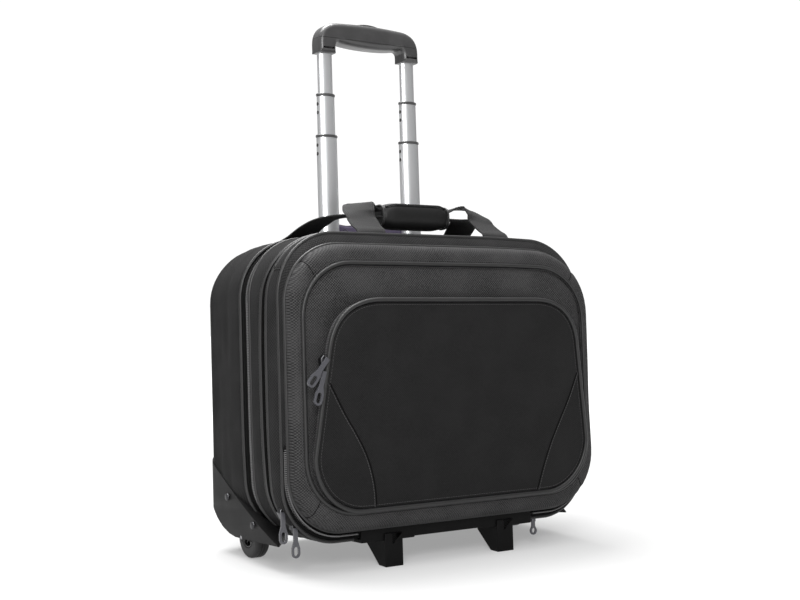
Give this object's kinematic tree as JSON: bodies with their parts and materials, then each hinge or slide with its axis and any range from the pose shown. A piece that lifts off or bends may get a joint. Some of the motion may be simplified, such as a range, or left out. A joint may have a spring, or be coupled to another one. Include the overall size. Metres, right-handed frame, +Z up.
{
  "type": "rolling laptop case",
  "caption": "Soft-sided wheeled laptop case: rounded fabric body, hinged lid with zipped pocket, webbing carry handles, telescopic pull handle, corner wheels and front feet.",
  "frame": {"origin": "centre of the footprint box, on the surface the case stands on", "axes": "+Z up, +Y towards the back where the pull handle is, +X to the right seen from the front; the case leans back 3.2 degrees"},
  "size_m": [0.4402, 0.2478, 0.6628],
  "materials": {
    "bag_fabric": "woven charcoal polyester, matte",
    "black_trim": "black webbing, piping and zip tape",
    "lining_fabric": "thin dark lilac lining",
    "moulded_plastic": "satin moulded dark grey plastic",
    "tube_aluminium": "satin silver anodised",
    "axle_steel": "dark plated",
    "wheel_rubber": "black moulded tread",
    "zip_metal": "black nickel",
    "pull_plastic": "glossy dark moulded"
  },
  "bodies": {
    "root": {"rear_shell": "bag_fabric", "rear_zip_band": "black_trim", "middle_gusset": "bag_fabric", "middle_zip_band": "black_trim", "front_gusset": "bag_fabric", "front_zip_band": "black_trim", "divider_panel": "lining_fabric", "tube_cover_panel": "lining_fabric", "bottom_board": "moulded_plastic", "handle_pocket_liner": "lining_fabric", "tube_bezel": "moulded_plastic", "tube_foot_bracket": "moulded_plastic", "front_carry_handle": "black_trim", "rear_carry_handle": "black_trim", "handle_wrap": "black_trim", "base_rail": "moulded_plastic", "foot_left": "moulded_plastic", "wheel_guard_left": "moulded_plastic", "guard_screw_rear_left": "axle_steel", "guard_screw_front_left": "axle_steel", "wheel_axle_left": "axle_steel", "outer_tube_left": "tube_aluminium", "foot_right": "moulded_plastic", "wheel_guard_right": "moulded_plastic", "guard_screw_rear_right": "axle_steel", "guard_screw_front_right": "axle_steel", "wheel_axle_right": "axle_steel", "outer_tube_right": "tube_aluminium", "side_upper_slider": "zip_metal", "side_lower_slider": "zip_metal", "bottom_right_slider": "zip_metal"},
    "lower_stage": {"lower_stage_tube_left": "tube_aluminium", "lower_stage_tube_right": "tube_aluminium", "lower_stage_collar_left": "moulded_plastic", "lower_stage_collar_right": "moulded_plastic"},
    "middle_stage": {"middle_stage_tube_left": "tube_aluminium", "middle_stage_tube_right": "tube_aluminium", "middle_stage_collar_left": "moulded_plastic", "middle_stage_collar_right": "moulded_plastic"},
    "upper_stage": {"upper_stage_tube_left": "tube_aluminium", "upper_stage_tube_right": "tube_aluminium", "grip_upper_shell": "moulded_plastic", "grip_lower_shell": "moulded_plastic"},
    "release": {"release_button": "moulded_plastic", "release_rod_left": "tube_aluminium", "release_rod_right": "tube_aluminium"},
    "wheel_left": {"wheel_tyre_left": "wheel_rubber", "wheel_hub_left": "moulded_plastic"},
    "wheel_right": {"wheel_tyre_right": "wheel_rubber", "wheel_hub_right": "moulded_plastic"},
    "lid": {"lid_border": "bag_fabric", "lid_inner_panel": "bag_fabric", "pocket_upper_slider": "zip_metal", "pocket_lower_slider": "zip_metal"},
    "pocket": {"front_pocket": "bag_fabric"},
    "pocket_upper_pull": {"pocket_upper_pull": "pull_plastic"},
    "pocket_lower_pull": {"pocket_lower_pull": "pull_plastic"},
    "side_upper_pull": {"side_upper_pull": "pull_plastic"},
    "side_lower_pull": {"side_lower_pull": "pull_plastic"},
    "bottom_right_pull": {"bottom_right_pull": "pull_plastic"}
  },
  "joints": [
    {"name": "lower_stage_slide", "type": "slide", "parent": "root", "child": "lower_stage", "axis": [0, 0.0558, 0.9984], "range_m": [-0.18, 0.04]},
    {"name": "middle_stage_slide", "type": "slide", "parent": "lower_stage", "child": "middle_stage", "axis": [0, 0.0558, 0.9984], "range_m": [-0.049, 0.165]},
    {"name": "upper_stage_slide", "type": "slide", "parent": "middle_stage", "child": "upper_stage", "axis": [0, 0.0558, 0.9984], "range_m": [-0.05, 0.14]},
    {"name": "release_button_press", "type": "slide", "parent": "upper_stage", "child": "release", "axis": [0, 0.0558, 0.9984], "range_m": [-0.003, 0], "stiffness_N_per_m": 500, "springref_m": 0.003},
    {"name": "wheel_left_spin", "type": "hinge", "parent": "root", "child": "wheel_left", "pos_m": [-0.192, 0.0346, 0.0255], "axis": [1, 0, 0], "continuous": true},
    {"name": "wheel_right_spin", "type": "hinge", "parent": "root", "child": "wheel_right", "pos_m": [0.192, 0.0346, 0.0255], "axis": [1, 0, 0], "continuous": true},
    {"name": "lid_hinge", "type": "hinge", "parent": "root", "child": "lid", "pos_m": [0, -0.09649, 0.04541], "axis": [1, 0, 0], "range_deg": [0, 80]},
    {"name": "pocket_hinge", "type": "hinge", "parent": "lid", "child": "pocket", "pos_m": [0, -0.11207, 0.07132], "axis": [1, 0, 0], "range_deg": [0, 25]},
    {"name": "pocket_upper_pull_swing", "type": "hinge", "parent": "lid", "child": "pocket_upper_pull", "pos_m": [-0.1822, -0.11772, 0.23889], "axis": [0, 0.9984, -0.0558], "range_deg": [-39, 50]},
    {"name": "pocket_lower_pull_swing", "type": "hinge", "parent": "lid", "child": "pocket_lower_pull", "pos_m": [-0.1844, -0.11851, 0.22492], "axis": [0, 0.9984, -0.0558], "range_deg": [-14, 60]},
    {"name": "side_upper_pull_swing", "type": "hinge", "parent": "root", "child": "side_upper_pull", "pos_m": [-0.21141, -0.07467, 0.06856], "axis": [0, 0.9984, -0.0558], "range_deg": [-5, 90]},
    {"name": "side_lower_pull_swing", "type": "hinge", "parent": "root", "child": "side_lower_pull", "pos_m": [-0.19848, -0.07968, 0.05051], "axis": [0, 0.9984, -0.0558], "range_deg": [-15, 60]},
    {"name": "bottom_right_pull_swing", "type": "hinge", "parent": "root", "child": "bottom_right_pull", "pos_m": [0.132, -0.0858, 0.03059], "axis": [0, 0.9984, -0.0558], "range_deg": [-60, 30]}
  ]
}
